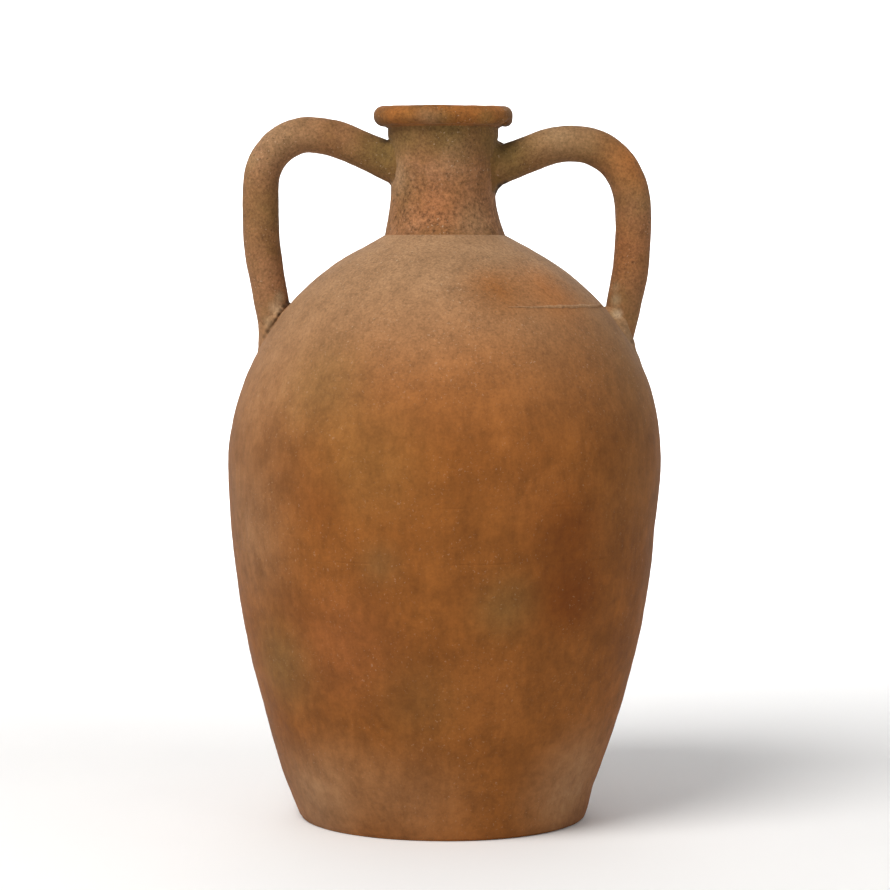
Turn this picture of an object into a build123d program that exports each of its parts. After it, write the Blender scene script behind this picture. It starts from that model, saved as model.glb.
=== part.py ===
"""A two-handled terracotta jar, in millimetres.

The jar stands on z = 0 with its axis on Z. The handles lie in the XZ plane, the left
one on -X. Thrown sections stack on keyed seams, the neck stands on the shoulder, the
rim is a coil on the neck, and each handle is luted to the neck and to the shoulder.
"""

import os
from math import acos, atan2, cos, hypot, sin, sqrt

from build123d import *

os.makedirs("parts", exist_ok=True)

# Driving dimensions of the outside
overall_height = 500.0
base_radius = 98.5
belly_radius = 152.5
belly_height = 250.0
shoulder_arc_radius = 170.0
neck_foot_radius = 42.5
neck_foot_height = 411.0
neck_waist_radius = 36.8
neck_waist_height = 438.0
neck_top_radius = 38.2
neck_foot_lean = (-0.4, 0, 1)
neck_top_lean = (0.02, 0, 1)
rim_radius = 49.0
rim_height = 14.0
mouth_radius = 29.0

# Thickness of the clay
wall_thickness = 10.0
floor_thickness = 13.0

# Floor slab: a thin edge under the wall, a raised plug inside it, a coil in the corner
slab_edge_height = 3.0
slab_edge_round = 1.0
plug_radius = 87.0
foot_line_depth = 0.8
foot_line_width = 1.2
coil_width = 12.0
coil_height = 15.0
coil_hollow = 0.59
coil_overrun = 0.5

# Seams between the thrown sections, each with a raised key in the lower piece
belly_seam_height = 193.5
shoulder_seam_height = 361.0
key_height = 3.0
key_foot_width = 4.0
key_top_width = 2.0

# Bead of clay along the shoulder seam, as angles from +X about Z
bead_radius = 1.4
bead_sink = 0.5
bead_start_angle = -68.0
bead_sweep_angle = 57.0

# Rim section
rim_outer_round = 6.5
rim_mouth_round = 4.0

# Handles: rods on a path of straight runs and tangent arcs, as (reach, height) corners
rod_width = 25.0
rod_depth = 26.5
handles = {
    "left": {
        "side": -1,
        "corners": [(27, 456.6), (85, 482.4), (131.5, 478.5), (131.5, 405), (115.5, 319)],
        "radii": [62, 29, 240],
    },
    "right": {
        "side": 1,
        "corners": [(27, 454.7), (74, 472.3), (134.5, 476.5), (134.5, 398), (117.1, 319)],
        "radii": [58, 45, 220],
    },
}

# Luting, a wedge of clay round a handle's end: (distance off the wall, spread) pairs
neck_luting = [(-9.0, 6.0), (1.0, 4.5), (4.0, 2.0), (9.0, 0.8)]
shoulder_luting = [(-4.0, 5.5), (0.5, 4.5), (3.0, 2.0), (7.0, 0.8)]
contact_tolerance = 0.01

rim_bottom_height = overall_height - rim_height
base_arc_radius = (belly_height**2 + (belly_radius - base_radius) ** 2) / (
    2 * (belly_radius - base_radius)
)
base_arc_centre = belly_radius - base_arc_radius
shoulder_arc_centre = belly_radius - shoulder_arc_radius


def shoulder_slope():
    """Elevation of the outward normal where the shoulder arc turns into a cone."""
    reach = neck_foot_radius - shoulder_arc_centre
    rise = neck_foot_height - belly_height
    return atan2(rise, reach) - acos(shoulder_arc_radius / hypot(reach, rise))


def body_radius(height, grow=0.0):
    """Radius of the body's arcs at a height, moved out by grow."""
    if height < belly_height:
        arc, centre = base_arc_radius + grow, base_arc_centre
    else:
        arc, centre = shoulder_arc_radius + grow, shoulder_arc_centre
    return centre + sqrt(arc**2 - (height - belly_height) ** 2)


def body_normal(height):
    """Outward normal of the shoulder arc at a height, as (reach, rise)."""
    rise = (height - belly_height) / shoulder_arc_radius
    return sqrt(1 - rise**2), rise


def turned(outline, angle=360.0):
    """Turns a closed outline in the XZ plane about Z."""
    return revolve(make_face(outline), axis=Axis.Z, revolution_arc=angle)


def turned_polygon(*corners):
    """Turns a polygon of (radius, height) corners about Z."""
    return turned(Polyline(*[(r, 0, z) for r, z in corners], close=True))


def body_solid(grow=0.0):
    """The body from its base to the neck's foot as one solid, moved out by grow."""
    slope = shoulder_slope()
    arc = shoulder_arc_radius + grow
    half_height = belly_height / 2
    base = (body_radius(0, grow), 0, 0)
    lower_middle = (body_radius(half_height, grow), 0, half_height)
    belly = (belly_radius + grow, 0, belly_height)
    arc_middle = (
        shoulder_arc_centre + arc * cos(slope / 2),
        0,
        belly_height + arc * sin(slope / 2),
    )
    arc_end = (shoulder_arc_centre + arc * cos(slope), 0, belly_height + arc * sin(slope))
    cone_end = (neck_foot_radius, 0, neck_foot_height + grow / sin(slope))
    outline = [
        ThreePointArc(base, lower_middle, belly),
        ThreePointArc(belly, arc_middle, arc_end),
        Line(arc_end, cone_end),
        Line(cone_end, (0, 0, cone_end[2])),
        Line((0, 0, cone_end[2]), (0, 0, 0)),
        Line((0, 0, 0), base),
    ]
    return turned(outline)


def layer(bottom, top, radius=2 * belly_radius):
    """A disc of space between two heights, wider than the jar unless told otherwise."""
    return Pos(0, 0, bottom) * Cylinder(
        radius, top - bottom, align=(Align.CENTER, Align.CENTER, Align.MIN)
    )


def cavity_solid():
    """The hollow above the floor, with the bore of the neck and rim."""
    hollow = body_solid(-wall_thickness) & layer(floor_thickness, neck_foot_height)
    return hollow + layer(belly_height, overall_height, mouth_radius)


def neck_solid():
    """The neck's outside as one solid."""
    foot = (neck_foot_radius, 0, neck_foot_height)
    waist = (neck_waist_radius, 0, neck_waist_height)
    top = (neck_top_radius, 0, rim_bottom_height)
    outline = [
        Spline(foot, waist, top, tangents=[neck_foot_lean, neck_top_lean]),
        Line(top, (0, 0, rim_bottom_height)),
        Line((0, 0, rim_bottom_height), (0, 0, neck_foot_height)),
        Line((0, 0, neck_foot_height), foot),
    ]
    return turned(outline)


def rim_ring():
    """The rolled lip, round outside and eased into the mouth."""
    section = make_face(
        Polyline(
            (mouth_radius, 0, rim_bottom_height),
            (rim_radius, 0, rim_bottom_height),
            (rim_radius, 0, overall_height),
            (mouth_radius, 0, overall_height),
            close=True,
        )
    )
    outer = section.vertices().group_by(Axis.X)[-1]
    section = fillet(outer, rim_outer_round)
    mouth = section.vertices().group_by(Axis.X)[0].sort_by(Axis.Z)[-1]
    section = fillet(mouth, rim_mouth_round)
    return revolve(section, axis=Axis.Z)


def seam_key(height, inner, outer):
    """The raised ring in the middle of a seam, from the lower piece into the upper."""
    middle = (inner + outer) / 2
    foot, top = key_foot_width / 2, key_top_width / 2
    return turned_polygon(
        (middle - foot, height),
        (middle + foot, height),
        (middle + top, height + key_height),
        (middle - top, height + key_height),
    )


def base_slab():
    """The floor disc with its raised plug."""
    edge = layer(0, slab_edge_height, base_radius)
    edge = fillet(edge.edges().filter_by(GeomType.CIRCLE).sort_by(Axis.Z)[0], slab_edge_round)
    return edge + layer(0, floor_thickness, plug_radius)


def foot_line():
    """The scored line where the wall stands on the slab's edge."""
    radius = body_radius(slab_edge_height)
    return turned_polygon(
        (radius + foot_line_depth, slab_edge_height - foot_line_width),
        (radius - foot_line_depth, slab_edge_height),
        (radius + foot_line_depth, slab_edge_height + foot_line_width),
    )


def floor_coil(cavity):
    """The coil in the inside corner, with a hollow face."""
    start = (body_radius(floor_thickness, -wall_thickness) - coil_width, 0, floor_thickness)
    end_height = floor_thickness + coil_height
    end = (body_radius(end_height, -wall_thickness) + coil_overrun, 0, end_height)
    middle = (
        start[0] + coil_hollow * (end[0] - start[0]),
        0,
        end_height - coil_hollow * coil_height,
    )
    corner = (end[0], 0, floor_thickness)
    outline = [ThreePointArc(start, middle, end), Line(end, corner), Line(corner, start)]
    return turned(outline) & cavity


def handle_path(handle):
    """A handle's centre line, from inside the neck to inside the shoulder."""
    corners = [(handle["side"] * reach, 0, height) for reach, height in handle["corners"]]
    return FilletPolyline(*corners, radius=handle["radii"])


def handle_rod(path):
    """The whole rod, before its ends are cut to the jar."""
    section_plane = Plane(origin=path @ 0, x_dir=(0, 1, 0), z_dir=path % 0)
    return sweep(section_plane * Ellipse(rod_depth / 2, rod_width / 2), path=path)


def wall_contact(handle, at_neck):
    """Where a handle's centre line meets the jar, its direction there and the normal."""
    corners = handle["corners"]
    inner, outer = (corners[0], corners[1]) if at_neck else (corners[-1], corners[-2])
    run = hypot(outer[0] - inner[0], outer[1] - inner[1])
    direction = ((outer[0] - inner[0]) / run, (outer[1] - inner[1]) / run)
    low, high = 0.0, run
    while high - low > contact_tolerance:
        distance = (low + high) / 2
        reach, height = inner[0] + direction[0] * distance, inner[1] + direction[1] * distance
        surface = neck_waist_radius if at_neck else body_radius(height)
        low, high = (distance, high) if reach < surface else (low, distance)
    normal = (1.0, 0.0) if at_neck else body_normal(height)
    return (reach, height), direction, normal


def luting(handle, at_neck):
    """The wedge of clay round a handle's end, before the rod and jar are cut from it."""
    side = handle["side"]
    (reach, height), direction, normal = wall_contact(handle, at_neck)
    lean = direction[0] * normal[0] + direction[1] * normal[1]
    along = (normal[1] * side, 0, -normal[0])
    sections = []
    for off_wall, spread in neck_luting if at_neck else shoulder_luting:
        step = off_wall / lean
        origin = (side * (reach + direction[0] * step), 0, height + direction[1] * step)
        plane = Plane(origin=origin, x_dir=along, z_dir=(side * normal[0], 0, normal[1]))
        sections.append(
            plane * Ellipse(rod_width / 2 / lean + spread, rod_depth / 2 + spread)
        )
    return loft(sections, ruled=True)


def seam_bead(outside):
    """The strip of clay along part of the shoulder seam."""
    normal = body_normal(shoulder_seam_height)
    reach = body_radius(shoulder_seam_height) - bead_sink * normal[0]
    height = shoulder_seam_height - bead_sink * normal[1]
    section = Plane(origin=(reach, 0, height), z_dir=(0, 1, 0)) * Circle(bead_radius)
    strip = revolve(section, axis=Axis.Z, revolution_arc=bead_sweep_angle)
    return Rot(0, 0, bead_start_angle) * strip - outside


def build():
    """Makes every piece and returns them by name."""
    cavity = cavity_solid()
    body = body_solid()
    neck = neck_solid()
    jar = body + neck
    shell = body - cavity

    belly_key = seam_key(
        belly_seam_height,
        body_radius(belly_seam_height, -wall_thickness),
        body_radius(belly_seam_height),
    )
    shoulder_key = seam_key(
        shoulder_seam_height,
        body_radius(shoulder_seam_height, -wall_thickness),
        body_radius(shoulder_seam_height),
    )
    neck_key = seam_key(neck_foot_height, mouth_radius, neck_foot_radius)
    rim_key = seam_key(rim_bottom_height, mouth_radius, neck_top_radius)

    slab = base_slab()
    pieces = {
        "base_slab": slab - foot_line(),
        "floor_coil": floor_coil(cavity),
        "lower_wall": (shell & layer(slab_edge_height, belly_seam_height))
        - slab
        - foot_line()
        + belly_key,
        "belly_wall": (shell & layer(belly_seam_height, shoulder_seam_height))
        - belly_key
        + shoulder_key,
        "shoulder_dome": (shell & layer(shoulder_seam_height, neck_foot_height))
        - shoulder_key
        + neck_key,
        "shoulder_seam_bead": seam_bead(body),
        "neck": neck - cavity - neck_key + rim_key,
        "rim_roll": rim_ring() - rim_key,
    }
    for name, handle in handles.items():
        rod = handle_rod(handle_path(handle)) - jar
        pieces[f"handle_{name}"] = rod
        pieces[f"neck_luting_{name}"] = luting(handle, True) - rod - jar
        pieces[f"shoulder_luting_{name}"] = luting(handle, False) - rod - jar
    return pieces


for piece_name, piece in build().items():
    export_step(piece, f"parts/{piece_name}.step")
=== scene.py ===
from math import acos, atan2, cos, degrees, exp, hypot, pi, radians, sin, sqrt

import bmesh
import bpy
from mathutils import Matrix, Vector, noise


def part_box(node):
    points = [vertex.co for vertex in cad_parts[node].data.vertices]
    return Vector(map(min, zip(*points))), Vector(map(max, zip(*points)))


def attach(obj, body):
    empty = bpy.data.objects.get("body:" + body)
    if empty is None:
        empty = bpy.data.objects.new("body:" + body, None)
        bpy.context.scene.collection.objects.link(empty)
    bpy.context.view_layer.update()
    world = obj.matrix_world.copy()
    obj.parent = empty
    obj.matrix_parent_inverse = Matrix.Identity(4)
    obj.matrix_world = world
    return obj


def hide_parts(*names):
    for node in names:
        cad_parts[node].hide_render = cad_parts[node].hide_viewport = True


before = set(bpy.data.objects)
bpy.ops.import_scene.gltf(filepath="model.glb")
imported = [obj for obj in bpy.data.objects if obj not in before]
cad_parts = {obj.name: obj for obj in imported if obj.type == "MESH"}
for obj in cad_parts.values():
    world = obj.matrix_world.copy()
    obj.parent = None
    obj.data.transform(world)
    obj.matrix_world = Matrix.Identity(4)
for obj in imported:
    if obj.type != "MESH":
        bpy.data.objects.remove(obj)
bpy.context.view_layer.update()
print("frame loaded,", len(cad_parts), "clay pieces")

mm = 0.001

# heights and radii that the pieces share, read from the frame where it holds them
jar = {
    "top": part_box("rim_roll")[1].z,
    "rimBottom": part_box("rim_roll")[0].z,
    "neckFoot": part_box("neck")[0].z,
    "shoulderSeam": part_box("shoulder_dome")[0].z,
    "bellySeam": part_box("belly_wall")[0].z,
    "slabEdge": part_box("lower_wall")[0].z,
    "floorTop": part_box("base_slab")[1].z,
    "rimRadius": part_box("rim_roll")[1].x,
    "neckFootRadius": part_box("neck")[1].x,
    "bellyRadius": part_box("belly_wall")[1].x,
    "baseRadius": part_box("base_slab")[1].x,
    "bellyHeight": 250 * mm,
    "shoulderArc": 170 * mm,
    "neckWaistRadius": 36.9 * mm,
    "neckWaistHeight": 442 * mm,
    "neckTopRadius": 38.4 * mm,
    "mouthRadius": 29 * mm,
    "wall": 10 * mm,
    "plugRadius": 87 * mm,
    "turnedGroove": 231 * mm,
}
seamKey = {"height": 3 * mm, "foot": 4 * mm, "top": 2 * mm}

# how far the clay strays from a perfect turning, and how closely the strays follow each other
hand = {
    "swell": 0.9 * mm, "swellScale": 9,
    "lump": 0.26 * mm, "lumpScale": 52, "dentScale": 130,
    "ring": 0.20 * mm, "ringScale": 165,
    "stroke": 0.10 * mm, "strokeScale": 210,
    "slim": 1.2 * mm,
    "footSwell": 0.9 * mm, "footHeel": 3.2 * mm,
    "grooveDepth": 0.3 * mm, "grooveWidth": 0.55 * mm,
    "pitDepth": 1.1 * mm, "pitReach": 1.6 * mm,
}
# how far sideways the jar's middle strays at each height, both in mm
leans = [
    (0, -3.3), (20, -3.1), (85, -1.4), (200, -1.4), (255, 0.0), (310, 1.0), (400, 0.5), (432, -1.3),
]
# parts of the ring lines that were never smoothed out: height, then the middle and the half width
# of the stretch in degrees round from the front
grooves = [
    (jar["bellySeam"], -25, 7), (jar["bellySeam"], 10, 9), (jar["bellySeam"], 39, 11),
    (jar["bellySeam"], 150, 30), (jar["bellySeam"], -85, 20),
    (jar["turnedGroove"], 2, 4), (jar["turnedGroove"], 36, 10), (jar["turnedGroove"], -130, 25),
    (jar["shoulderSeam"], 170, 30),
]
pits = [Vector((0.0205, -0.1425, 0.137)), Vector((0.106, -0.072, 0.0695))]


def smooth(low, high, value):
    t = min(max((value - low) / (high - low), 0.0), 1.0)
    return t * t * (3 - 2 * t)


def bodyRadius(z, grow=0.0):
    # two arcs, and a straight shoulder that leaves the upper arc as a tangent
    if z < jar["bellyHeight"]:
        lean = jar["bellyRadius"] - jar["baseRadius"]
        arc = (jar["bellyHeight"] ** 2 + lean ** 2) / (2 * lean)
        return jar["bellyRadius"] - arc + sqrt((arc + grow) ** 2 - (z - jar["bellyHeight"]) ** 2)
    arc = jar["shoulderArc"]
    centre = jar["bellyRadius"] - arc
    reach = jar["neckFootRadius"] - centre
    rise = jar["neckFoot"] - jar["bellyHeight"]
    slope = atan2(rise, reach) - acos(arc / hypot(reach, rise))
    arc += grow
    if z < jar["bellyHeight"] + arc * sin(slope):
        return centre + sqrt(arc ** 2 - (z - jar["bellyHeight"]) ** 2)
    coneEnd = jar["neckFoot"] + grow / sin(slope)
    return jar["neckFootRadius"] + (coneEnd - z) * sin(slope) / cos(slope)


def neckRadius(z):
    # a flared foot, a waist and a slight flare up to the rim
    foot, waist, top = jar["neckFootRadius"], jar["neckWaistRadius"], jar["neckTopRadius"]
    if z < jar["neckWaistHeight"]:
        t = (jar["neckWaistHeight"] - z) / (jar["neckWaistHeight"] - jar["neckFoot"])
        return waist + (foot - waist) * t ** 1.7
    t = (z - jar["neckWaistHeight"]) / (jar["rimBottom"] - jar["neckWaistHeight"])
    return waist + (top - waist) * smooth(0, 1, t)


def jarRadius(z):
    return bodyRadius(z) if z < jar["neckFoot"] else neckRadius(z)


def jarNormal(z):
    step = 0.5 * mm
    slope = (jarRadius(z + step) - jarRadius(z - step)) / (2 * step)
    # at the foot of the neck the clay is pushed straight in or out, so that both sides meet
    slope *= 1 - smooth(8 * mm, mm, abs(z - jar["neckFoot"]))
    size = hypot(1, slope)
    return 1 / size, -slope / size


def lean(z):
    shift = leans[0][1]
    for (low, start), (high, end) in zip(leans, leans[1:]):
        shift += (end - start) * smooth(low * mm, high * mm, z)
    return shift * mm


def relief(x, y, z):
    # what hands and ribs leave on the outside, as a height above the true turning
    angle = atan2(y, x)
    point = Vector((x, y, z))
    swell = noise.noise(point * hand["swellScale"]) * hand["swell"]
    lump = noise.noise(point * hand["lumpScale"]) * hand["lump"]
    lump += noise.noise(point * hand["dentScale"]) * hand["lump"] * 0.35
    turned = Vector((cos(angle) * 0.55, sin(angle) * 0.55, z * hand["ringScale"]))
    ring = noise.noise(turned) * hand["ring"] * (0.7 + noise.noise(point * 7))
    # a rib dragged over sand leaves slanting strokes, in patches
    drag = Vector((x * hand["strokeScale"] + z * 40, y * hand["strokeScale"], z * 34))
    patch = smooth(-0.3, 0.3, noise.noise(point * 8 + Vector((3, 1, 7))))
    stroke = noise.noise(drag) * hand["stroke"] * patch
    height = swell + lump + ring + stroke + hand["footSwell"] * smooth(60 * mm, 0, z)
    height -= hand["slim"] * smooth(250 * mm, 200 * mm, z) * smooth(30 * mm, 90 * mm, z)
    around = degrees(atan2(x, -y))
    height += hand["footHeel"] * smooth(24 * mm, 2 * mm, z) * smooth(80, 10, abs(around - 55))
    for level, middle, half in grooves:
        off = abs(z - level)
        if off < 4 * hand["grooveWidth"]:
            turn = abs((around - middle + 180) % 360 - 180)
            shown = smooth(1.2 * half, 0.6 * half, turn) * (0.75 + noise.noise(point * 60) * 0.5)
            height -= hand["grooveDepth"] * shown * exp(-((off / hand["grooveWidth"]) ** 2))
    for pit in pits:
        height -= hand["pitDepth"] * (1 - smooth(0, hand["pitReach"], (point - pit).length))
    return height


def onJar(angle, z, sink=0.0):
    # the finished surface at an angle round the axis, or a little under it
    radius = jarRadius(z)
    outward, upward = jarNormal(z)
    height = relief(radius * cos(angle), radius * sin(angle), z) - sink
    radius += height * outward
    return Vector((lean(z) + radius * cos(angle), radius * sin(angle), z + height * upward))


class Wire:
    # a node's output that adds, multiplies and compares like a number

    def __init__(self, sheet, socket):
        self.sheet = sheet
        self.socket = socket

    def maths(self, operation, *others):
        inputs = dict(enumerate([self, *others]))
        return self.sheet.add("ShaderNodeMath", {"operation": operation}, inputs)

    def __add__(self, other):
        return self.maths("ADD", other)

    __radd__ = __add__

    def __mul__(self, other):
        return self.maths("MULTIPLY", other)

    __rmul__ = __mul__

    def __sub__(self, other):
        return self.maths("SUBTRACT", other)

    def __rsub__(self, other):
        return self.sheet.add("ShaderNodeMath", {"operation": "SUBTRACT"}, {0: other, 1: self})

    def __truediv__(self, other):
        return self.maths("DIVIDE", other)

    def __pow__(self, other):
        return self.maths("POWER", other)

    def ramp(self, low, high, start=0.0, end=1.0):
        inputs = {0: self, 1: low, 2: high, 3: start, 4: end}
        return self.sheet.add("ShaderNodeMapRange", {"interpolation_type": "SMOOTHSTEP"}, inputs)


class Sheet:
    # one material and the ways its nodes are added

    def __init__(self, name):
        self.material = bpy.data.materials.new(name)
        self.material.use_nodes = True
        self.tree = self.material.node_tree
        self.shader = self.tree.nodes["Principled BSDF"]

    def add(self, kind, settings=None, inputs=None, output=0):
        node = self.tree.nodes.new(kind)
        for key, value in (settings or {}).items():
            setattr(node, key, value)
        for key, value in (inputs or {}).items():
            if isinstance(value, Wire):
                self.tree.links.new(value.socket, node.inputs[key])
            else:
                node.inputs[key].default_value = value
        return Wire(self, node.outputs[output])

    def feed(self, name, wire):
        self.tree.links.new(wire.socket, self.shader.inputs[name])

    def mix(self, amount, first, second, blend="MIX"):
        first = first if isinstance(first, Wire) else (*first, 1)
        second = second if isinstance(second, Wire) else (*second, 1)
        settings = {"data_type": "RGBA", "blend_type": blend, "clamp_factor": True}
        return self.add("ShaderNodeMix", settings, {0: amount, 6: first, 7: second}, 2)

    def noise(self, place, scale, detail=3.0, rough=0.5, warp=0.0):
        inputs = {"Vector": place, "Scale": scale, "Detail": detail, "Roughness": rough}
        inputs["Distortion"] = warp
        return self.add("ShaderNodeTexNoise", {}, inputs)

    def stretch(self, place, size, turn=(0, 0, 0)):
        return self.add("ShaderNodeMapping", {}, {"Vector": place, "Scale": size, "Rotation": turn})

    def nearness(self, place, centre, reach):
        distance = self.add("ShaderNodeVectorMath", {"operation": "DISTANCE"}, {0: place, 1: centre}, 1)
        return distance.ramp(reach, 0.0)

    def paint(self, amount, colour, tint):
        return self.mix(amount, colour, clay[tint])


clay = {
    "brown": (0.188, 0.062, 0.011),
    "orange": (0.243, 0.082, 0.015),
    "amber": (0.345, 0.118, 0.026),
    "rust": (0.162, 0.041, 0.004),
    "rose": (0.265, 0.085, 0.024),
    "ochre": (0.265, 0.140, 0.040),
    "olive": (0.165, 0.098, 0.030),
    "umber": (0.180, 0.086, 0.026),
    "pink": (0.252, 0.110, 0.046),
    "dust": (0.365, 0.232, 0.128),
    "slip": (0.320, 0.245, 0.140),
    "cream": (0.540, 0.385, 0.245),
    # the darkest colour: dark sand flecks, and painted shade in cracks, crevices and pits
    "darkFleckAndShade": (0.040, 0.020, 0.008),
}

# clouds of colour from the kiln and from years outdoors: colour, centre, reach and strength
clouds = [
    ("amber", (0.00, -0.14, 0.325), 0.090, 0.45),
    ("amber", (0.05, -0.13, 0.275), 0.080, 0.30),
    ("amber", (0.07, -0.07, 0.372), 0.045, 0.60),
    ("orange", (0.033, -0.088, 0.368), 0.038, 0.80),
    ("orange", (0.10, -0.10, 0.33), 0.080, 0.35),
    ("amber", (0.06, -0.14, 0.24), 0.040, 0.35),
    ("amber", (0.03, -0.13, 0.105), 0.045, 0.35),
    ("amber", (0.00, -0.10, 0.012), 0.050, 0.30),
    ("amber", (0.02, 0.15, 0.27), 0.110, 0.50),
    ("amber", (-0.10, 0.11, 0.15), 0.080, 0.40),
    ("ochre", (-0.085, -0.115, 0.31), 0.055, 0.40),
    ("ochre", (-0.05, -0.14, 0.26), 0.060, 0.30),
    ("rose", (-0.07, -0.12, 0.14), 0.065, 0.50),
    ("rust", (0.082, -0.125, 0.215), 0.045, 0.60),
    ("rust", (0.085, -0.12, 0.17), 0.042, 0.85),
    ("rust", (-0.083, -0.127, 0.233), 0.030, 0.30),
    ("rust", (0.11, 0.10, 0.22), 0.060, 0.60),
    ("umber", (-0.043, -0.143, 0.194), 0.024, 0.55),
    ("olive", (0.04, -0.14, 0.165), 0.035, 0.45),
    ("olive", (-0.017, -0.132, 0.10), 0.045, 0.20),
    ("umber", (0.135, -0.07, 0.25), 0.085, 0.30),
    ("olive", (-0.11, -0.08, 0.12), 0.050, 0.50),
    ("olive", (0.06, 0.12, 0.10), 0.080, 0.50),
    ("dust", (-0.12, -0.06, 0.34), 0.100, 0.16),
    ("dust", (-0.01, -0.11, 0.345), 0.060, 0.20),
    ("dust", (-0.065, -0.09, 0.045), 0.050, 0.22),
    ("dust", (-0.14, -0.06, 0.27), 0.110, 0.20),
    ("dust", (-0.13, -0.07, 0.20), 0.070, 0.22),
    ("dust", (-0.09, -0.065, 0.02), 0.060, 0.40),
    ("dust", (0.09, -0.07, 0.03), 0.065, 0.42),
    ("ochre", (0.13, -0.05, 0.32), 0.070, 0.25),
    ("dust", (-0.02, -0.10, 0.03), 0.060, 0.18),
    ("dust", (0.03, 0.10, 0.02), 0.080, 0.35),
]
# painted shade in the cracks and crevices by the handles' feet and under the rim: points along each as
# (reach, height), seen from the front, in mm
crackShades = [
    ([(-110.4, 363.5), (-113.0, 361.2), (-115.4, 358.6), (-116.6, 355.5)], 2.5),
    ([(-116.6, 355.5), (-118.8, 351.6), (-120.6, 348.8)], 2.5),
    ([(-122.6, 347.0), (-124.0, 343.6), (-126.4, 340.0)], 2.4),
    ([(-38.5, 476.6), (-45.0, 476.4)], 2.0),
    ([(40.5, 487.8), (43.5, 488.4)], 2.0),
    ([(42.5, 447.5), (39.0, 444.8), (36.8, 441.5)], 2.6),
    ([(123.5, 348.6), (124.6, 347.6)], 2.0),
    ([(130.6, 336.6), (131.2, 335.6)], 2.0),
]
# what all the clays have in common
kiln = {
    # rain washed the dust down from the shoulder: it fades out between these heights
    "dustFrom": 0.26, "dustTo": 0.415,
    # salt and frost roughened the foot of the neck, from and to these heights
    "frostFoot": (0.405, 0.420), "frostTop": (0.468, 0.440),
    "roughness": 0.88, "specular": 0.16, "sheenRoughness": 0.45, "sheenTint": (0.80, 0.78, 0.70, 1),
}


def paintCrackShade(sheet, place, patchy, colour):
    # painted shade: a row of dark spots along each crack, the same at any depth
    flat = sheet.stretch(place, (1, 0.12, 1))
    for corners, width in crackShades:
        for (x, z), (toX, toZ) in zip(corners, corners[1:]):
            count = max(int(hypot(toX - x, toZ - z) / width), 1)
            for step in range(count + 1):
                share = step / count
                spot = Vector((x + (toX - x) * share, 0, z + (toZ - z) * share))
                reach = width * (1.25 + 0.5 * noise.noise(spot * 0.6))
                shadeMark = sheet.nearness(flat, spot * mm, reach * mm) * (patchy + 0.5)
                colour = sheet.paint(shadeMark, colour, "darkFleckAndShade")
    return colour


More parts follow.
